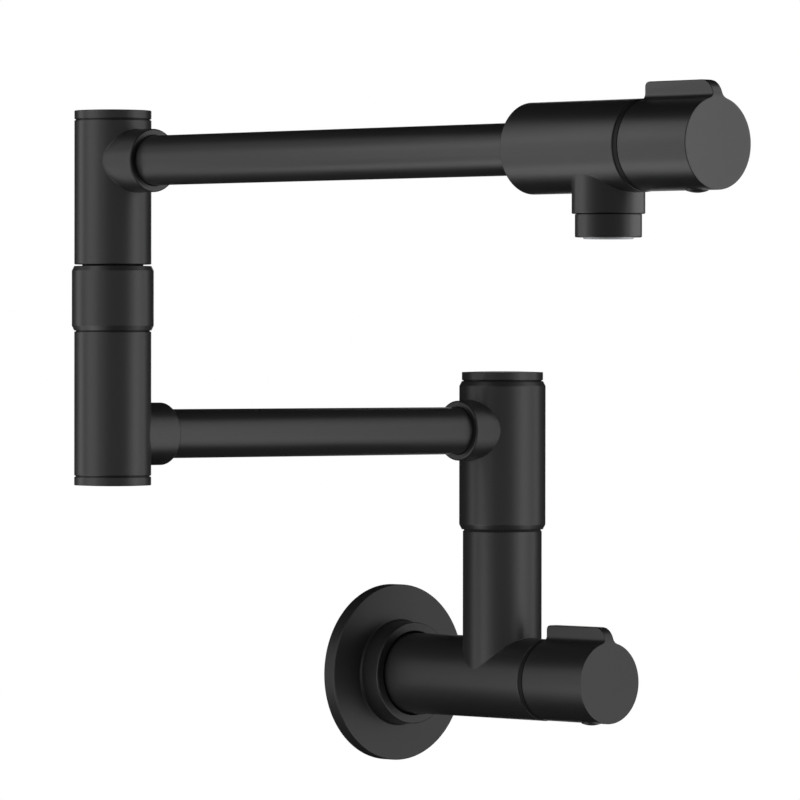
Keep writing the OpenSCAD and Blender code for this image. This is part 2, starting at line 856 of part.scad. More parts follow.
module wall_adapter() {
    outer_r = adapter_bore_r - fit_clear;
    seal_floor = outer_r - adapter_seal_d - seal_clear;
    seal_w = groove_w(adapter_seal_d);
    color(brass)
        rotate([90, 0, 0])
            difference() {
                rotate_extrude()
                    polygon(concat(
                        [[0, 0], [outer_r - fine_edge[0], 0], [outer_r, fine_edge[1]]],
                        [[outer_r, body_screw_reach - adapter_groove_w / 2]],
                        [[adapter_groove_r, body_screw_reach - screw_r]],
                        [[adapter_groove_r, body_screw_reach + screw_r]],
                        [[outer_r, body_screw_reach + adapter_groove_w / 2]],
                        groove(outer_r, seal_floor, adapter_seal_places[0], seal_w),
                        groove(outer_r, seal_floor, adapter_seal_places[1], seal_w),
                        [[outer_r, adapter_l - fine_edge[1]], [outer_r - fine_edge[0], adapter_l]],
                        [[0, adapter_l]]
                    ));
                drill(inlet_thread_r, -over, inlet_thread_l);
                cylinder(r1 = inlet_thread_r + thread_chamfer, r2 = inlet_thread_r, h = thread_chamfer);
                translate([0, 0, -over])
                    cylinder(r = adapter_hex_r, h = adapter_l + 2 * over, $fn = 6);
            }
}

module adapter_seals() {
    outer_r = adapter_bore_r - fit_clear;
    color(rubber)
        rotate([90, 0, 0])
            for (z = adapter_seal_places)
                translate([0, 0, z])
                    seal(outer_r - adapter_seal_d, outer_r);
}

module body_set_screw() {
    tip = adapter_groove_r + screw_gap;
    color(steel)
        at_body_screw()
            translate([0, 0, tip])
                set_screw(barrel_r - body_plug_inset - screw_gap - tip);
}

module body_plug() {
    color(black)
        at_body_screw()
            translate([0, 0, barrel_r - body_plug_inset])
                plug(0);
}

module inlet_body() {
    color(black)
        difference() {
            union() {
                rotate([90, 0, 0])
                    translate([0, 0, barrel_back])
                        turned(barrel_r, inlet_mouth - barrel_back, foot = fine_edge, top = fine_edge);
                at_riser(0)
                    turned(riser_r, riser_h, top = fine_edge);
            }
            rotate([90, 0, 0]) {
                drill(adapter_bore_r, barrel_back - over, adapter_l + adapter_gap);
                drill(passage_r, adapter_l, inlet_mouth - valve_depth + over);
            }
            at_inlet_mouth()
                valve_bore();
            at_riser(0) {
                drill(riser_bore_r, 0, riser_h);
                drill(root_r, riser_h - root_l - fit_clear, riser_h + over);
            }
            at_body_screw() {
                drill(screw_r, passage_r, barrel_r);
                translate([0, 0, barrel_r - body_plug_inset])
                    plug_seat();
            }
        }
}

module riser_spigot() {
    color(brass)
        at_riser(riser_h)
            spigot(
                root_r, root_l, riser_shoulder_r, riser_shoulder_l, riser_journal_r,
                riser_bore_r, lower_arm_z - riser_h
            );
}

module riser_seals() {
    color(rubber)
        at_riser(riser_h)
            swivel_seals(riser_journal_r, riser_shoulder_l, lower_arm_z - riser_h);
}

module riser_washers() {
    color(grey_plastic)
        at_riser(riser_h)
            swivel_washers(riser_journal_r, riser_shoulder_r, riser_shoulder_l, lower_arm_z - riser_h);
}

module riser_gap_ring() {
    color(rubber)
        at_riser(riser_h)
            gap_ring(riser_shoulder_r, riser_r - riser_ring_setback);
}

module riser_clip() {
    color(steel)
        at_riser(riser_h)
            swivel_clip(riser_journal_r, lower_arm_z - riser_h);
}

// The two valves, piece by piece
module inlet_seat_seal() color(rubber) at_inlet_mouth() seat_seal();
module inlet_fixed_disc() color(ceramic) at_inlet_mouth() fixed_disc();
module inlet_cartridge() color(brass) at_inlet_mouth() cartridge();
module inlet_cartridge_seal() color(rubber) at_inlet_mouth() cartridge_seal();
module inlet_bonnet() color(black) at_inlet_mouth() bonnet();
module inlet_trim_ring() color(dark_plastic) at_inlet_mouth() trim_ring();
module inlet_handle() color(black) at_inlet_mouth() handle();
module inlet_stem() color(brass) at_inlet_mouth() stem();
module inlet_turning_disc() color(ceramic) at_inlet_mouth() turning_disc();
module inlet_stem_seal() color(rubber) at_inlet_mouth() stem_seal();
module inlet_handle_screw() color(steel) at_inlet_mouth() handle_screw();
module inlet_handle_plug() color(black) at_inlet_mouth() handle_plug();

module spout_seat_seal() color(rubber) at_spout_mouth() seat_seal();
module spout_fixed_disc() color(ceramic) at_spout_mouth() fixed_disc();
module spout_cartridge() color(brass) at_spout_mouth() cartridge();
module spout_cartridge_seal() color(rubber) at_spout_mouth() cartridge_seal();
module spout_bonnet() color(black) at_spout_mouth() bonnet();
module spout_trim_ring() color(dark_plastic) at_spout_mouth() trim_ring();
module spout_handle() color(black) at_spout_mouth() handle();
module spout_stem() color(brass) at_spout_mouth() stem();
module spout_turning_disc() color(ceramic) at_spout_mouth() turning_disc();
module spout_stem_seal() color(rubber) at_spout_mouth() stem_seal();
module spout_handle_screw() color(steel) at_spout_mouth() handle_screw();
module spout_handle_plug() color(black) at_spout_mouth() handle_plug();

// Pieces of the lower arm
module riser_sleeve() {
    arm = sleeve_below_arm;
    top = sleeve_below_arm + sleeve_above_arm;
    color(black)
        at_riser(sleeve_z)
            difference() {
                union() {
                    turned(sleeve_r, top, foot = sleeve_bevel, top = sleeve_bevel, steps = 1);
                    translate([0, 0, arm])
                        rotate([0, -90, 0])
                            socket(sleeve_socket_reach);
                }
                swivel_bore(riser_journal_r, riser_shoulder_r, riser_shoulder_l - swivel_gap, arm, top);
                translate([0, 0, arm])
                    rotate([0, -90, 0])
                        socket_holes(sleeve_socket_reach);
            }
}

module riser_cap() {
    color(black)
        at_riser(sleeve_top_z)
            swivel_cap(sleeve_cap_r, riser_journal_r, sleeve_above_arm);
}

module riser_cap_seal() {
    color(rubber)
        at_riser(sleeve_top_z)
            swivel_cap_seal(riser_journal_r, sleeve_above_arm);
}

module lower_arm_tube() {
    start = sleeve_socket_reach - socket_depth;
    color(black)
        at_riser(lower_arm_z)
            rotate([0, -90, 0])
                translate([0, 0, start])
                    arm_tube(lower_arm_l - start - post_socket_reach + socket_depth);
}

module post_lower_housing() {
    l = housing_end + housing_run;
    color(black)
        at_post(lower_arm_z)
            difference() {
                union() {
                    translate([0, 0, -housing_end])
                        turned(post_r, l, foot = cap_edge, top = cap_edge);
                    rotate([0, 90, 0])
                        socket(post_socket_reach);
                }
                drill(post_root_r, -housing_end - over, housing_run + over);
                rotate([0, 90, 0])
                    socket_holes(post_socket_reach);
            }
}

module post_bottom_cap() {
    inner_r = post_root_r - fit_clear;
    color(black)
        at_post(lower_arm_z - housing_end)
            rotate([180, 0, 0])
                rotate_extrude()
                    polygon(concat(
                        [[0, -bottom_plug_l], [inner_r, -bottom_plug_l]],
                        groove(inner_r, bottom_groove_r(), -bottom_plug_l / 2, groove_w(cap_seal_d)),
                        [[inner_r, 0], [post_r - seam_depth, 0], [post_r - seam_depth, seam]],
                        rounding(post_r - cap_edge[0], seam + cap_edge[1], cap_edge, -90),
                        rounding(post_r - cap_edge[0], seam + cap_t - cap_edge[1], cap_edge, 0),
                        dome(post_r - cap_edge[0], seam + cap_t, cap_dome)
                    ));
}

// Radius of the floor of the groove in the bottom cap
function bottom_groove_r() = post_root_r - fit_clear - cap_seal_d - seal_clear;

module post_bottom_seal() {
    color(rubber)
        at_post(lower_arm_z - housing_end + bottom_plug_l / 2)
            seal(bottom_groove_r() + seal_clear, bottom_groove_r() + seal_clear + cap_seal_d);
}

module swivel_collar() {
    color(black)
        at_post(post_face_z)
            difference() {
                union() {
                    cylinder(r = post_r - seam_depth, h = seam + over);
                    translate([0, 0, seam])
                        turned(collar_r, collar_h, foot = collar_bevel, top = collar_bevel, steps = 1);
                }
                drill(post_shoulder_r + fit_clear, -over, seam + collar_h + over);
            }
}

module post_spigot() {
    color(brass)
        at_post(post_face_z)
            spigot(
                post_root_r, post_root_l, post_shoulder_r, post_shoulder_l, post_journal_r,
                post_bore_r, upper_arm_z - post_face_z
            );
}

module post_seals() {
    color(rubber)
        at_post(post_face_z)
            swivel_seals(post_journal_r, post_shoulder_l, upper_arm_z - post_face_z);
}

module post_washers() {
    color(grey_plastic)
        at_post(post_face_z)
            swivel_washers(
                post_journal_r, post_shoulder_r, post_shoulder_l, upper_arm_z - post_face_z
            );
}

module post_gap_ring() {
    color(rubber)
        at_post(collar_top_z)
            gap_ring(post_shoulder_r, post_shoulder_r + fit_clear + post_ring_w);
}

module post_clip() {
    color(steel)
        at_post(post_face_z)
            swivel_clip(post_journal_r, upper_arm_z - post_face_z);
}

// Pieces of the upper arm
module post_upper_housing() {
    top = housing_run + housing_end;
    color(black)
        at_post(upper_housing_z)
            difference() {
                union() {
                    turned(post_r, top, foot = cap_edge, top = cap_edge);
                    translate([0, 0, housing_run])
                        rotate([90, 0, 0])
                            socket(post_socket_reach);
                }
                swivel_bore(post_journal_r, post_shoulder_r, shoulder_rise, housing_run, top);
                translate([0, 0, housing_run])
                    rotate([90, 0, 0])
                        socket_holes(post_socket_reach);
            }
}

module post_top_cap() {
    color(black)
        at_post(upper_arm_z + housing_end)
            swivel_cap(post_r, post_journal_r, housing_end);
}

module post_top_seal() {
    color(rubber)
        at_post(upper_arm_z + housing_end)
            swivel_cap_seal(post_journal_r, housing_end);
}

module upper_arm_tube() {
    start = post_socket_reach - socket_depth;
    color(black)
        at_post(upper_arm_z)
            rotate([90, 0, 0])
                translate([0, 0, start])
                    arm_tube(upper_arm_l - outlet_to_back + socket_depth - start);
}

module spout_body() {
    color(black)
        at_spout_mouth()
            difference() {
                union() {
                    translate([0, 0, -spout_l])
                        turned(barrel_r, spout_l, foot = fine_edge, top = fine_edge);
                    translate([0, 0, -outlet_to_mouth])
                        rotate([90, 0, 0])
                            turned(outlet_r, outlet_drop, top = fine_edge);
                }
                drill(arm_r + fit_clear, -spout_l - over, -spout_l + socket_depth);
                drill(passage_r, -spout_l, -valve_depth + over);
                valve_bore();
                translate([0, 0, -outlet_to_mouth])
                    rotate([90, 0, 0]) {
                        drill(passage_r, 0, outlet_drop);
                        drill(aerator_thread_r, outlet_drop - aerator_thread_l, outlet_drop + over);
                    }
            }
}

module aerator_gasket() {
    floor_z = upper_arm_z - outlet_drop + aerator_thread_l;
    thread_top = upper_arm_z - outlet_drop + aerator_thread_in;
    color(rubber)
        at_outlet(thread_top)
            flat_ring(gasket_hole_r, aerator_thread_r - 2 * fit_clear, floor_z - thread_top);
}

module aerator_housing() {
    color(black)
        at_outlet(upper_arm_z - outlet_drop)
            difference() {
                union() {
                    translate([0, 0, -aerator_neck_l - aerator_h])
                        turned(aerator_r, aerator_h, foot = aerator_edge, top = aerator_top_edge);
                    translate([0, 0, -aerator_neck_l - over])
                        cylinder(r = aerator_neck_r, h = aerator_neck_l + over);
                    cylinder(r = aerator_thread_r - fit_clear, h = aerator_thread_in);
                }
                drill(aerator_bore_r, -aerator_neck_l - aerator_h - over, aerator_thread_in - aerator_lip_t);
                drill(aerator_lip_r, -over, aerator_thread_in + over);
            }
}

module aerator_insert() {
    insert_r = aerator_bore_r - fit_clear;
    foot_z = -aerator_neck_l - aerator_h - insert_out;
    l = aerator_thread_in - aerator_lip_t - fit_clear - foot_z;
    color(grey_plastic)
        at_outlet(upper_arm_z - outlet_drop + foot_z)
            difference() {
                turned(insert_r, l, foot = insert_edge);
                drill(insert_r - insert_wall, insert_plate, l + over);
                for (i = [-insert_rings:insert_rings], j = [-insert_rings:insert_rings])
                    if (abs(i + j) <= insert_rings)
                        translate([(i + j / 2) * insert_pitch, j * insert_pitch * sin(60), -over])
                            cylinder(r = insert_cell_r, h = insert_plate + 2 * over, $fn = 6);
            }
}

wall_flange();
flange_gasket();
flange_seal();
wall_adapter();
adapter_seals();
body_set_screw();
body_plug();
inlet_body();
inlet_seat_seal();
inlet_fixed_disc();
inlet_cartridge();
inlet_cartridge_seal();
inlet_bonnet();
inlet_trim_ring();
riser_spigot();
riser_seals();
riser_washers();
riser_gap_ring();
riser_clip();
inlet_handle();
inlet_stem();
inlet_turning_disc();
inlet_stem_seal();
inlet_handle_screw();
inlet_handle_plug();
riser_sleeve();
riser_cap();
riser_cap_seal();
lower_arm_tube();
post_lower_housing();
post_bottom_cap();
post_bottom_seal();
swivel_collar();
post_spigot();
post_seals();
post_washers();
post_gap_ring();
post_clip();
post_upper_housing();
post_top_cap();
post_top_seal();
upper_arm_tube();
spout_body();
spout_seat_seal();
spout_fixed_disc();
spout_cartridge();
spout_cartridge_seal();
spout_bonnet();
spout_trim_ring();
aerator_gasket();
aerator_housing();
aerator_insert();
spout_handle();
spout_stem();
spout_turning_disc();
spout_stem_seal();
spout_handle_screw();
spout_handle_plug();
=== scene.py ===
# %% [markdown]
# # A wall mounted pot filler
#
# This lesson dresses a finished construction model. The model already holds every piece of the
# tap at its real size and place. What is left for Blender is the finish of each surface, one cut
# thread, the faces of the two knobs, two trim rings, the light and the camera. First comes the
# model itself.

# %% Load the frame
import json
import math

import bpy
from mathutils import Matrix, Vector


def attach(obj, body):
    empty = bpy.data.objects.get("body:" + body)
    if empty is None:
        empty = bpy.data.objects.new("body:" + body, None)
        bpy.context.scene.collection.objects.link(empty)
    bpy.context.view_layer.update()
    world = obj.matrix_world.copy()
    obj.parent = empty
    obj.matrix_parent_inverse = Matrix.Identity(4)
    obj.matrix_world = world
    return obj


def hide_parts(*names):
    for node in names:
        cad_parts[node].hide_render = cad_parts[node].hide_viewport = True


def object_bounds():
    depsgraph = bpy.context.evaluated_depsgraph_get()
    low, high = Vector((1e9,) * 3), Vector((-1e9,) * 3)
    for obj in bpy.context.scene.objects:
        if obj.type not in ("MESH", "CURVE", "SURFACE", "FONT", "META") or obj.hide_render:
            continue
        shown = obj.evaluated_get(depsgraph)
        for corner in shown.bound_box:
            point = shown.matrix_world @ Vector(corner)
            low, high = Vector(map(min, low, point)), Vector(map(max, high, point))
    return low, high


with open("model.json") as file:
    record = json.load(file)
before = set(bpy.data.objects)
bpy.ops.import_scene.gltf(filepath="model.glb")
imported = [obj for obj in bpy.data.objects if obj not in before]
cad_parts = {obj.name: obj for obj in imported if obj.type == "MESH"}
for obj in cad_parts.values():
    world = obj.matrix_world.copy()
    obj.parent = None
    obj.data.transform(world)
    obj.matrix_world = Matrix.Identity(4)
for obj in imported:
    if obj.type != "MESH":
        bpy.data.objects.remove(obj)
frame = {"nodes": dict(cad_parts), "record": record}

MM = 0.001
nodes = frame["nodes"]
frame_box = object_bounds()
print("pieces in the frame:", len(nodes))
print("size in mm:", [round(side / MM, 1) for side in frame_box[1] - frame_box[0]])

# %% [markdown]
# ## The camera
#
# A product picture like this one is taken with a long lens from far away, so that the tubes keep
# almost the same width along their length. With so little perspective, a camera that is moved by
# eye easily ends up in the wrong place. So its place, its turns and its lens were fitted as
# numbers, together with the sizes of the tap, until the model's outline lay on the picture's. It
# stands 42.5 degrees round to the left of the tap, about level with its middle, and looks down
# by less than half a degree.

# %% Place the camera
VIEW_AZIMUTH = math.radians(-42.505)
VIEW_DOWN = math.radians(0.4485)
VIEW_ROLL = math.radians(0.062)
VIEW_PLACE = Vector((-1.8513, -2.0265, 0.1337))
SENSOR = 36.0  # mm wide
LENS = 299.01  # mm

camera_data = bpy.data.cameras.new("photo_camera")
camera_data.sensor_width = SENSOR
camera_data.lens = LENS
camera = bpy.data.objects.new("photo_camera", camera_data)
bpy.context.scene.collection.objects.link(camera)
turn = Matrix.Rotation(VIEW_AZIMUTH, 4, "Z")
tilt = Matrix.Rotation(math.pi / 2 - VIEW_DOWN, 4, "X")
roll = Matrix.Rotation(VIEW_ROLL, 4, "Z")
camera.matrix_world = Matrix.Translation(VIEW_PLACE) @ turn @ tilt @ roll
bpy.context.scene.camera = camera
print("camera", round(VIEW_PLACE.length, 3), "m from the wall inlet")

# %% [markdown]
# ## Shader maths
#
# A finish is a small calculation: noise times a depth, one minus a mask. Blender wants a node for
# each step, and code that adds and links them one by one is hard to read back. The class below
# wraps a socket, so that plain Python operators add the Math nodes, and one method makes any
# other node.


# %% A socket that can be calculated with
class Signal:
    """One output of a node tree."""

    def __init__(self, tree, socket=None):
        self.tree = tree
        self.socket = socket

    def node(self, kind, settings=None, sockets=None, output=0):
        """Adds a node. Its settings are set first, then its sockets get their values or links."""
        made = self.tree.nodes.new("ShaderNode" + kind)
        for name, value in (settings or {}).items():
            setattr(made, name, value)
        for name, value in (sockets or {}).items():
            feed(made.inputs[name], value)
        return Signal(self.tree, made.outputs[output])

    def maths(self, operation, first, second):
        """A Math node on two values, either of which may be a Signal."""
        return self.node("Math", {"operation": operation}, {0: first, 1: second})

    def __add__(self, other):
        return self.maths("ADD", self, other)

    def __rsub__(self, other):
        return self.maths("SUBTRACT", other, self)

    def __mul__(self, other):
        return self.maths("MULTIPLY", self, other)

    __radd__ = __add__
    __rmul__ = __mul__


def feed(socket, value):
    """Links a Signal to a socket, or sets the socket to a plain value."""
    if isinstance(value, Signal):
        value.tree.links.new(value.socket, socket)
    else:
        socket.default_value = value


print("a Signal can be added, multiplied and taken from a number")

# %% [markdown]
# ## Helpers for a finish
#
# Every finish of the tap is Blender's Principled shader, with noise on its roughness and mostly
# on its colour too. Pictures of real surfaces would do as well, but noise needs no file. It is
# read on a piece's own coordinates, so the pattern stays on the piece when the tap is turned. A
# colour goes through a Mix node, because a Math node would turn it grey. Fine relief goes through
# a Bump node, which changes how the light falls and not the mesh.

# %% A new finish, noise, colours and relief


def new_finish(name):
    """A material with an empty Principled shader: gives the material, its shader and a Signal."""
    material = bpy.data.materials.new(name)
    material.use_nodes = True
    shader = material.node_tree.nodes["Principled BSDF"]
    return material, shader, Signal(material.node_tree)


def plug_in(node, **sockets):
    """Sets or links a node's sockets. Underscores in the names stand for spaces."""
    for name, value in sockets.items():
        feed(node.inputs[name.replace("_", " ")], value)


def grain(signal, per_metre, detail=2.0, offset=(0.0, 0.0, 0.0)):
    """Noise on the piece's own coordinates, from 0 to 1, with so many bumps per metre."""
    place = signal.node("TexCoord", output="Object")
    moved = signal.node("Mapping", None, {"Vector": place, "Location": offset})
    return signal.node("TexNoise", None, {"Vector": moved, "Scale": per_metre, "Detail": detail})


def grey(value):
    """A colour without a hue: red, green, blue and full cover."""
    return (value, value, value, 1)


def mixed(signal, share, first, second):
    """A colour between two colours."""
    return signal.node(
        "Mix", {"data_type": "RGBA"}, {"Factor": share, "A": first, "B": second}, output=2
    )


def bumped(signal, height, strength, depth, **sockets):
    """Relief from a height of 0 to 1, so many metres deep, of which a share shows."""
    values = {"Height": height, "Strength": strength, "Distance": depth, **sockets}
    return signal.node("Bump", None, values)


print("helpers for a finish ready, grey 0.5 is", grey(0.5))

# %% [markdown]
# ## The matte black coat
#
# The brass is coated in a thin, hard, matte black layer. Its own colour is a deep, neutral black.
# The grey that the picture shows on the flanks is sheen: the coat blurs the lamps over a wide
# area. The surface is even, so the finish varies only a little: broad, faint clouds in the sheen
# where the coat is a hair thicker, and a grain finer than a pinhead that breaks the highlights.
#
# Cast and turned pieces are never quite sharp. The model has its larger bevels as real faces. A
# Bevel modifier could round what is left, but it easily tears a mesh that was cut and joined from
# many shapes. The Bevel node does it in the finish: it looks a short way over each edge and
# blends the two directions, so every edge and every inner corner gets the thin line of light or
# shade that the coat shows there. The castings are rounder than the turned pieces: where a socket
# or the outlet grows out of a barrel, the inner corner is a small fillet that catches the light.
# So the coat is made twice, with two radii.

# %% Matte black
BLACK = 0.0105
BLACK_DRIFT = 0.07
COAT_ROUGHNESS = 0.35
ROUGHNESS_DRIFT = 0.03
COAT_SPECULAR = 0.175
CLOUDS_PER_METRE = 35.0
GRAIN_PER_METRE = 2600.0
GRAIN_DEPTH = 0.04 * MM
EDGE_ROUNDING = 0.4 * MM
CAST_ROUNDING = 0.8 * MM
ROUNDING_SAMPLES = 8


def coat(name, rounding):
    """The black coat over edges of one roundness."""
    material, shader, signal = new_finish(name)
    clouds = grain(signal, CLOUDS_PER_METRE)
    fine = grain(signal, GRAIN_PER_METRE, detail=3.0)
    rounded = signal.node("Bevel", {"samples": ROUNDING_SAMPLES}, {"Radius": rounding})
    darker, lighter = grey(BLACK * (1 - BLACK_DRIFT)), grey(BLACK * (1 + BLACK_DRIFT))
    plug_in(
        shader,
        Base_Color=mixed(signal, clouds, darker, lighter),
        Specular_IOR_Level=COAT_SPECULAR,
        Roughness=COAT_ROUGHNESS - ROUGHNESS_DRIFT + clouds * (2 * ROUGHNESS_DRIFT),
        Normal=bumped(signal, fine, strength=0.05, depth=GRAIN_DEPTH, Normal=rounded),
    )
    return material


black_coat = coat("matte_black_coat", EDGE_ROUNDING)
cast_coat = coat("matte_black_on_castings", CAST_ROUNDING)
print("matte black coat made, rounding in mm:", EDGE_ROUNDING / MM, CAST_ROUNDING / MM)

# %% [markdown]
# ## Turned brass
#
# The wall adapter, the spigots, the stems and the cartridges are turned brass. The lathe leaves a
# fine texture, and the metal stains a little in use. Where each spigot shows as a sliver in its
# turning gap, the brass is painted black: painted shade that keeps the gap a dark line. That could
# be a thin ring of its own, but a mask of two bands, given by their heights, paints the brass
# black there and adds nothing to the mesh.

# %% Brass, black in the two seams
SEAMS = ((59.6 * MM, 60.4 * MM), (165.0 * MM, 165.8 * MM))  # lower and upper edge
BRASS_DARK = (0.64, 0.46, 0.2, 1)
BRASS_LIGHT = (0.76, 0.59, 0.29, 1)
BRASS_ROUGHNESS = 0.26
STAIN_ROUGHENS = 0.12
SEAM_ROUGHENS = 0.4
TOOLING_DEPTH = 0.05 * MM

metal_brass, shader, signal = new_finish("turned_brass")
tooling = grain(signal, per_metre=900.0, detail=1.0)
stain = grain(signal, per_metre=60.0, offset=(0.3, 0.1, 0.2))
place = signal.node("TexCoord", output="Object")
height = signal.node("SeparateXYZ", None, {"Vector": place}, output="Z")
# Painted shade: in the two seam bands the brass is painted black, and made less metallic and
# rougher.
seam_shade = sum(
    signal.maths("GREATER_THAN", height, low) * signal.maths("LESS_THAN", height, high)
    for low, high in SEAMS
)
brassy = mixed(signal, stain, BRASS_DARK, BRASS_LIGHT)
plug_in(
    shader,
    Base_Color=mixed(signal, seam_shade, brassy, grey(BLACK)),
    Metallic=1.0 - seam_shade,
    Roughness=BRASS_ROUGHNESS + stain * STAIN_ROUGHENS + seam_shade * SEAM_ROUGHENS,
    Normal=bumped(signal, tooling, strength=0.15, depth=TOOLING_DEPTH),
)
print("brass made, black in", len(SEAMS), "seams")

# %% [markdown]
# ## Stainless steel
#
# The set screws and the spring clips are brushed stainless steel, and they sit inside. The
# brushing could be a pattern of fine lines, but on pieces this small it only blurs the
# reflections unevenly, so one even colour and noise on the roughness are enough.

# %% Steel
STEEL = (0.56, 0.57, 0.58, 1)
STEEL_ROUGHNESS = 0.24
BRUSHING_ROUGHENS = 0.14

metal_steel, shader, signal = new_finish("stainless_steel")
brushing = grain(signal, per_metre=1500.0)
plug_in(
    shader,
    Base_Color=STEEL,
    Metallic=1.0,
    Roughness=STEEL_ROUGHNESS + brushing * BRUSHING_ROUGHENS,
)
print("steel made:", metal_steel.name, "with roughness from", STEEL_ROUGHNESS)

# %% [markdown]
# ## Rubber
#
# Black rubber seals every joint, and a ring of it closes the turning gap of each swivel. In the
# picture these gaps are plain black lines. Rubber with the usual gloss draws a light line there,
# so this one is about as dark as the coat and shines less. Dust in its pores makes it uneven. The
# helper that makes it serves the ceramic and the plastics too: the colour drifts from dark to
# light and the roughness from smooth to rough, both with the same noise.

# %% Rubber
RELIEF_DEPTH = 0.1 * MM


def mottled(name, per_metre, colours, roughness, specular=0.5, relief=0.0):
    """A finish whose colour and roughness drift together between two colours and two values."""
    material, shader, signal = new_finish(name)
    drift = grain(signal, per_metre)
    smooth, rough = roughness
    plug_in(
        shader,
        Base_Color=mixed(signal, drift, *colours),
        Specular_IOR_Level=specular,
        Roughness=smooth + drift * (rough - smooth),
    )
    if relief:
        plug_in(shader, Normal=bumped(signal, drift, strength=relief, depth=RELIEF_DEPTH))
    return material


rubber = mottled(
    "black_rubber", per_metre=400.0, colours=(grey(0.007), grey(0.012)),
    roughness=(0.7, 0.85), specular=0.1, relief=0.1,
)
print("rubber made:", rubber.name)

# %% [markdown]
# ## Ceramic
#
# In each valve two ceramic discs slide on each other, and a quarter turn brings their ports
# together. They are lapped until they are almost as smooth as a mirror. A glass shader would be
# too clear for them. A pale, warm white with a very low roughness is right, and a faint bloom
# keeps it from looking like paint.

# %% Lapped ceramic
ceramic = mottled(
    "lapped_ceramic", per_metre=120.0, colours=((0.8, 0.79, 0.75, 1), (0.86, 0.85, 0.81, 1)),
    roughness=(0.1, 0.18),
)
print("ceramic made:", ceramic.name)

# %% [markdown]
# ## Plastics
#
# The sliding washers in the swivels are white plastic, the rings behind the knobs are dark
# plastic, and the aerator's insert is grey plastic. One finish in three colours would nearly
# do. But the dark rings lie in a narrow gap between black pieces, where gloss would show as a
# bright line. So each has numbers of its own, and the dark one hardly shines.

# %% Three plastics
slide_plastic = mottled(
    "white_slide_plastic", per_metre=200.0, colours=((0.7, 0.7, 0.67, 1), (0.78, 0.78, 0.75, 1)),
    roughness=(0.45, 0.55),
)
trim_plastic = mottled(
    "dark_trim_plastic", per_metre=700.0, colours=(grey(0.006), grey(0.008)),
    roughness=(0.4, 0.48), specular=0.04,
)
grey_plastic = mottled(
    "grey_aerator_plastic", per_metre=300.0, colours=((0.3, 0.31, 0.32, 1), (0.36, 0.37, 0.38, 1)),
    roughness=(0.4, 0.5),
)
print("plastics made:", slide_plastic.name, trim_plastic.name, grey_plastic.name)

# %% [markdown]
# ## Give every node its finish
#
# The model's record names a material slot for each node, such as brass or rubber. Finishes could
# be dragged onto the pieces one by one, but a table from slot to finish forgets none of them. The
# five black castings then get the coat with the larger rounding instead.

# %% Fill the slots
FINISH_OF_SLOT = {
    "black_finish": black_coat,
    "brass": metal_brass,
    "steel": metal_steel,
    "rubber": rubber,
    "ceramic": ceramic,
    "washer_plastic": slide_plastic,
    "aerator_plastic": grey_plastic,
    "trim_plastic": trim_plastic,
}
CASTINGS = (
    "inlet_body",
    "riser_sleeve",
    "post_lower_housing",
    "post_upper_housing",
    "spout_body",
)


def finish_node(name, finish):
    """Makes a finish the only one of a node."""
    nodes[name].data.materials.clear()
    nodes[name].data.materials.append(finish)


for part in frame["record"]["subparts"]:
    finish_node(part["node"], FINISH_OF_SLOT[part["material_slot"]])
for casting in CASTINGS:
    finish_node(casting, cast_coat)

# %% [markdown]
# ## Working as by hand
#
# Blender's operators do in code what a hand does with the mouse, and they act on all that is
# selected. So each helper selects its own piece first, and nothing else. The model's pieces stay
# as they are. To work on one, it is copied, and the loose triangles of the copy are joined at
# their corners. Faces that meet at a low angle are shaded as one smooth surface, and sharper
# edges stay sharp. The new piece then rides on the old one's body, and the old one is hidden.
# It has the old one's finish already, because a copy brings its material along.

# %% Helpers for modelling
WELD = 0.002 * MM
SMOOTH_ANGLE = math.radians(30)


def select_only(piece):
    """Deselects everything else, so that an operator acts on this piece alone."""
    bpy.ops.object.select_all(action="DESELECT")
    piece.select_set(True)
    bpy.context.view_layer.objects.active = piece


def apply_modifier(piece, kind, **settings):
    """Adds a modifier, sets it and applies it."""
    select_only(piece)
    modifier = piece.modifiers.new(kind.lower(), kind)
    for name, value in settings.items():
        setattr(modifier, name, value)
    bpy.ops.object.modifier_apply(modifier=modifier.name)


def merged_copy(node, name):
    """A copy of a node with its loose triangles joined at their corners."""
    piece = nodes[node].copy()
    piece.data = nodes[node].data.copy()
    piece.name = name
    piece.parent = None
    bpy.context.scene.collection.objects.link(piece)
    select_only(piece)
    bpy.ops.object.mode_set(mode="EDIT")
    bpy.ops.mesh.select_all(action="SELECT")
    bpy.ops.mesh.remove_doubles(threshold=WELD)
    bpy.ops.object.mode_set(mode="OBJECT")
    return piece


def outward(piece):
    """Turns all faces of a closed piece outwards."""
    select_only(piece)
    bpy.ops.object.mode_set(mode="EDIT")
    bpy.ops.mesh.select_all(action="SELECT")
    bpy.ops.mesh.normals_make_consistent(inside=False)
    bpy.ops.object.mode_set(mode="OBJECT")


def shade_smooth(piece):
    """Shades curved faces smoothly and keeps the sharp edges."""
    select_only(piece)
    bpy.ops.object.shade_smooth_by_angle(angle=SMOOTH_ANGLE)


print("helpers for modelling ready, corners joined within", WELD / MM, "mm")

# %% [markdown]
# ## The cut thread
#
# Seen from the wall, the adapter has a half inch thread cut into its bore. The construction model
# leaves it as a plain hole, because a helix would be of no use there. A bump pattern could feign
# it, but the groove is more than a millimetre deep and lies open to view, so it is cut, as a
# thread cutter does it: a tooth with the shape of one groove is swept along a helix by a Screw
# modifier, and a Boolean modifier takes that ribbon out of a copy of the adapter. The tooth
# starts deep in the bore and leaves it at the mouth, so the groove runs out into the open.

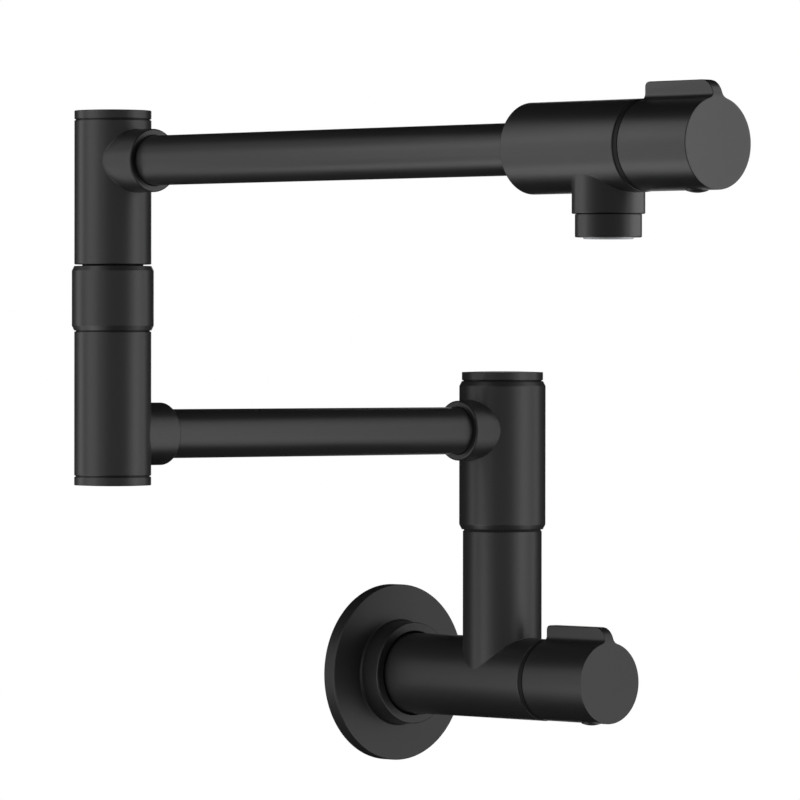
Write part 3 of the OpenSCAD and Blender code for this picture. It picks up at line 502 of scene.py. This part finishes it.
# %% The tooth, swept along its helix
THREAD_R = 9.3 * MM
THREAD_PITCH = 1.814 * MM
THREAD_DEPTH = 1.16 * MM
THREAD_TURNS = 8
THREAD_STEPS = 48
THREAD_START = -13.0 * MM
TOOTH_FOOT = 0.93 * THREAD_PITCH
TOOTH_TIP = 0.11 * THREAD_PITCH
OVERRUN = 0.3 * MM

bpy.ops.object.select_all(action="DESELECT")
bpy.ops.mesh.primitive_plane_add(size=1, location=(0, 0, 0))
tooth = bpy.context.object
tooth.name = "thread_tooth"
bpy.ops.object.mode_set(mode="EDIT")
bpy.ops.mesh.delete(type="ONLY_FACE")
bpy.ops.object.mode_set(mode="OBJECT")
for corner in tooth.data.vertices:
    at_tip = corner.co.x > 0
    corner.co.x = THREAD_R + (THREAD_DEPTH if at_tip else -OVERRUN)
    corner.co.y = THREAD_START + corner.co.y * (TOOTH_TIP if at_tip else TOOTH_FOOT)
apply_modifier(
    tooth, "SCREW", axis="Y", angle=2 * math.pi, screw_offset=THREAD_PITCH,
    iterations=THREAD_TURNS, steps=THREAD_STEPS, render_steps=THREAD_STEPS,
    use_smooth_shade=False,
)
bpy.ops.object.mode_set(mode="EDIT")
bpy.ops.mesh.select_all(action="SELECT")
bpy.ops.mesh.fill_holes(sides=0)
bpy.ops.object.mode_set(mode="OBJECT")
outward(tooth)
print("tooth ribbon:", len(tooth.data.polygons), "faces,", THREAD_TURNS, "turns")

# %% Cut it out of the adapter
adapter = merged_copy("wall_adapter", "threaded_adapter")
apply_modifier(adapter, "BOOLEAN", operation="DIFFERENCE", solver="EXACT", object=tooth)
bpy.data.objects.remove(tooth)
shade_smooth(adapter)
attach(adapter, "wall_body")
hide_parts("wall_adapter")
print("threaded adapter:", len(adapter.data.polygons), "faces")

# %% [markdown]
# ## The knobs
#
# The construction model's knobs end in a flat face with a soft edge. In the picture the edge is
# almost sharp, and the face is lighter on its left than on its right. Here the face is turned a
# hair hollow, which gives it a part of that fall of light. The fin rolls over in front in a
# larger arc than in the model.
#
# The corners of the model's faces could be moved, but they are many and small. So this is made as
# on a machine, by taking material away: a form tool turns the face, and a second tool rolls the
# fin over. Both are drawn once, in the plane through the knob's axis: u runs along the knob from
# its back, v is the height over the axis.

# %% Draw in the knob's plane
KNOB_R = 16.3 * MM
FACE_U = 33.9 * MM
CLEAR = 4 * MM


def outline(name, points, fill):
    """A loop of corners in the knob's plane, from (u, v) pairs."""
    bpy.ops.object.select_all(action="DESELECT")
    bpy.ops.mesh.primitive_circle_add(vertices=len(points), radius=1, fill_type=fill)
    piece = bpy.context.object
    piece.name = name
    for corner, (u, v) in zip(piece.data.vertices, points):
        corner.co = (0, -u, v)
    return piece


print("knob radius in mm:", round(KNOB_R / MM, 1), "and its face at:", round(FACE_U / MM, 1))

# %% [markdown]
# ### The face tool
#
# On a lathe the work goes round and the tool stands still. Here the tool goes round instead: a
# Screw modifier spins its outline round the knob's axis, which gives all that a lathe would take
# away. The outline starts on the axis, follows the hollow face out past the rim, and comes back
# clear of the knob. The edge that closes it lies on the axis, where a spin would only make faces
# without width. So that edge is deleted first, and the modifier merges the points on the axis.

# %% Spin the face tool
HOLLOW = 0.2 * MM
TOOL_R = 1.5 * KNOB_R
FACE_POINTS = 9
TURN_STEPS = 96
ON_AXIS = 0.001 * MM

face_line = []
for point in range(FACE_POINTS):
    v = TOOL_R * point / (FACE_POINTS - 1)
    face_line.append((FACE_U + HOLLOW * ((v / KNOB_R) ** 2 - 1), v))
way_back = [(FACE_U + CLEAR, TOOL_R), (FACE_U + CLEAR, 0)]
face_tool = outline("face_tool", face_line + way_back, "NOTHING")
bpy.ops.object.mode_set(mode="EDIT")
bpy.ops.mesh.select_mode(type="EDGE")
bpy.ops.mesh.select_all(action="DESELECT")
bpy.ops.object.mode_set(mode="OBJECT")
for edge in face_tool.data.edges:
    edge.select = all(face_tool.data.vertices[end].co.z < ON_AXIS for end in edge.vertices)
bpy.ops.object.mode_set(mode="EDIT")
bpy.ops.mesh.delete(type="EDGE")
bpy.ops.mesh.select_mode(type="VERT")
bpy.ops.object.mode_set(mode="OBJECT")
apply_modifier(
    face_tool, "SCREW", axis="Y", angle=2 * math.pi, steps=TURN_STEPS, render_steps=TURN_STEPS,
    use_merge_vertices=True, merge_threshold=ON_AXIS, use_smooth_shade=False,
)
outward(face_tool)
print("face tool:", len(face_tool.data.polygons), "faces")

# %% [markdown]
# ### The roll tool
#
# Seen from the side, the fin's front is a quarter of a circle. The tool is the corner outside
# that arc, drawn flat, and a Solidify modifier makes it a bar across the fin. Its arc begins a
# hundredth of a millimetre over the flat top of the fin, because a Boolean modifier is easily
# confused by two surfaces that lie in one plane.

# %% Draw the roll tool
ROLL_R = 6.4 * MM
FIN_TOP = 22.3 * MM
SKIM = 0.01 * MM
ROLL_STEPS = 24
BAR_WIDE = 14 * MM

roll_u = FACE_U - ROLL_R
roll_v = FIN_TOP + SKIM - ROLL_R
roll_line = []
for step in range(ROLL_STEPS + 1):
    turned = math.pi / 2 * (1 - step / ROLL_STEPS)
    roll_line.append((roll_u + ROLL_R * math.cos(turned), roll_v + ROLL_R * math.sin(turned)))
over_all = FIN_TOP + CLEAR
outside = [(FACE_U + CLEAR, roll_v), (FACE_U + CLEAR, over_all), (roll_u, over_all)]
roll_tool = outline("roll_tool", roll_line + outside, "NGON")
apply_modifier(roll_tool, "SOLIDIFY", thickness=BAR_WIDE, offset=0)
outward(roll_tool)
print("roll tool:", len(roll_tool.data.polygons), "faces")

# %% [markdown]
# ### Both knobs
#
# Each knob is a copy of the model's, and both tools are brought to its axis and its back. The
# cuts leave long, thin faces beside large ones. Smooth shading alone would bend the light across
# the large ones, so a Weighted Normal modifier lets the large faces decide.

# %% Face both knobs and roll their fins over
for place in ("inlet", "spout"):
    node = nodes[f"{place}_handle"]
    corners = [corner.co for corner in node.data.vertices]
    middle = (min(c.x for c in corners) + max(c.x for c in corners)) / 2
    back = max(c.y for c in corners)
    axis = min(c.z for c in corners) + KNOB_R
    knob = merged_copy(f"{place}_handle", f"{place}_faced_knob")
    for tool in (face_tool, roll_tool):
        tool.location = (middle, back, axis)
        bpy.context.view_layer.update()
        apply_modifier(knob, "BOOLEAN", operation="DIFFERENCE", solver="EXACT", object=tool)
    shade_smooth(knob)
    apply_modifier(knob, "WEIGHTED_NORMAL", mode="FACE_AREA", keep_sharp=True)
    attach(knob, f"{place}_valve_handle")
    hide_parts(f"{place}_handle")
    print(knob.name, len(knob.data.polygons), "faces")
for tool in (face_tool, roll_tool):
    bpy.data.objects.remove(tool)

# %% [markdown]
# ## The trim rings
#
# Behind each knob the picture shows an even dark grey line, as wide as the gap. A ring of dark
# plastic fills it. In the model it is a thin ring at the bottom of the gap. A new ring could be
# turned for it, but the old one has the right edges already, so its front half is drawn forward
# until only a hair is left for the knob to turn.

# %% Draw the trim rings forward
RING_REACH = 1.45 * MM
for place, body in (("inlet", "wall_body"), ("spout", "upper_arm")):
    ring = merged_copy(f"{place}_trim_ring", f"{place}_gap_trim")
    depths = [corner.co.y for corner in ring.data.vertices]
    halfway = (min(depths) + max(depths)) / 2
    for corner in ring.data.vertices:
        if corner.co.y < halfway:
            corner.co.y -= RING_REACH
    shade_smooth(ring)
    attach(ring, body)
    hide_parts(f"{place}_trim_ring")
print("trim rings drawn forward by", round(RING_REACH / MM, 2), "mm")

# %% [markdown]
# ## The studio
#
# A matte black tube shows hardly any colour of its own: it shows the lamps, blurred by the coat.
# In the picture the flanks that face sideways are light, and what faces up or down stays dark.
# One large lamp on each side would light the flanks, but too evenly. So the light comes from two
# upright walls of panels, one on each side, close to the tap. Each panel has a dimmer: the table
# has one line for each column of panels, with its angle from the camera and its dimmers, from
# the lowest panel to the highest. Light adds up, so the dimmers could be worked out: the tap was
# rendered under each panel alone, and the shares were found whose sum comes nearest to the tones
# of the picture. The last corrections were made by setting the render beside the picture.

# %% Walls of panels
CENTRE = (frame_box[0] + frame_box[1]) / 2
toward_camera = VIEW_PLACE - CENTRE
AHEAD = Vector((toward_camera.x, toward_camera.y, 0)).normalized()
RIGHT = Vector((math.cos(VIEW_AZIMUTH), math.sin(VIEW_AZIMUTH), 0))

PANEL_WIDE = 0.12
PANEL_TALL = 0.4
PANEL_FAR = 0.52
FULL_POWER = math.pi * PANEL_WIDE * PANEL_TALL
PANELS = {
    -104: (2.8, 2.3, 0.9),
    -91: (4.6, 0.0, 0.5),
    -78: (6.1, 3.1, 4.9),
    -64: (4.3, 3.0, 4.2),
    -46: (2.1, 1.2, 1.9),
    46: (2.1, 2.4, 2.3),
    64: (3.6, 5.0, 3.0),
    78: (4.4, 3.8, 3.2),
    91: (4.2, 2.2, 3.3),
    104: (2.6, 0.7, 2.3),
    118: (1.1, 1.8, 2.1),
}


def direction(angle):
    """The level direction this many degrees round from the camera, to the right as it sees."""
    across = math.radians(angle)
    return AHEAD * math.cos(across) + RIGHT * math.sin(across)


for angle, dimmers in PANELS.items():
    way = direction(angle)
    for row, dimmer in enumerate(dimmers):
        data = bpy.data.lights.new(f"panel{angle:+d}_{row}", "AREA")
        data.shape = "RECTANGLE"
        data.size = PANEL_WIDE
        data.size_y = PANEL_TALL
        data.energy = dimmer * FULL_POWER
        panel = bpy.data.objects.new(data.name, data)
        bpy.context.scene.collection.objects.link(panel)
        panel.location = CENTRE + way * PANEL_FAR
        panel.location.z += (row - 1) * PANEL_TALL
        panel.rotation_mode = "QUATERNION"
        panel.rotation_quaternion = way.to_track_quat("Z", "Y")
        panel.visible_camera = False
print("panels:", sum(len(dimmers) for dimmers in PANELS.values()))

# %% [markdown]
# ## Black cards
#
# Black things are drawn with dark as much as with light. A black card hangs above the tap and
# another lies below, and they keep its upper and lower sides dark. Two more stand behind it. The
# camera doesn't see them, but the edges of the tubes mirror them, and that draws the dark line
# along each tube. A world that is darker in mirrors would do this too, but then no metal could
# show the white background.

# %% Hang the black cards
CARD_BLACK = 0.01
CARD_RISE = 0.62
CARD_LONG = 2.4
FLAG_FAR = 0.9
FLAG_TALL = 1.24
FLAGS = {-144: 1.17, 150: 0.88}  # angle from the camera: width
UP = Vector((0, 0, 1))

card_black, shader, _ = new_finish("black_card")
plug_in(shader, Base_Color=grey(CARD_BLACK), Roughness=0.9, Specular_IOR_Level=0.1)


def black_card(name, place, wide, tall, facing):
    """A card that the camera doesn't see, but that the coat mirrors."""
    bpy.ops.object.select_all(action="DESELECT")
    bpy.ops.mesh.primitive_plane_add(size=1)
    card = bpy.context.object
    card.name = name
    turned = facing.to_track_quat("Z", "Y")
    for corner in card.data.vertices:
        corner.co = turned @ Vector((corner.co.x * wide, corner.co.y * tall, 0)) + place
    card.data.materials.append(card_black)
    card.visible_camera = False


black_card("card_above", CENTRE + UP * CARD_RISE, CARD_LONG, CARD_LONG, UP)
black_card("card_below", CENTRE - UP * CARD_RISE, CARD_LONG, CARD_LONG, UP)
for angle, wide in FLAGS.items():
    way = direction(angle)
    black_card(f"flag{angle:+d}", CENTRE + way * FLAG_FAR, wide, FLAG_TALL, way)
print("black cards: one above, one below and", len(FLAGS), "behind")

# %% [markdown]
# ## The white world
#
# The tap hangs on a wall and stands on nothing, so there is no floor, and the background is a
# plain white world. At full strength a white world would also light the tap from all round and
# flatten it. So the world asks what kind of ray has come: the camera, mirrors and glass find it
# white, and soft light finds only a small share of it. The Standard view transform shows each
# colour as it is written, and white as white.

# %% White for the camera, dim for soft light
AMBIENT = 0.15
world = bpy.data.worlds.new("white_studio")
bpy.context.scene.world = world
world.use_nodes = True
signal = Signal(world.node_tree)
seen = signal.node("LightPath", output="Is Camera Ray")
mirrored = signal.node("LightPath", output="Is Glossy Ray")
through = signal.node("LightPath", output="Is Transmission Ray")
white = signal.maths("MAXIMUM", seen, signal.maths("MAXIMUM", mirrored, through))
strength = AMBIENT + (1.0 - AMBIENT) * white
plug_in(world.node_tree.nodes["Background"], Color=grey(1), Strength=strength)
bpy.context.scene.view_settings.view_transform = "Standard"
print("white world, share of it in soft light:", AMBIENT)
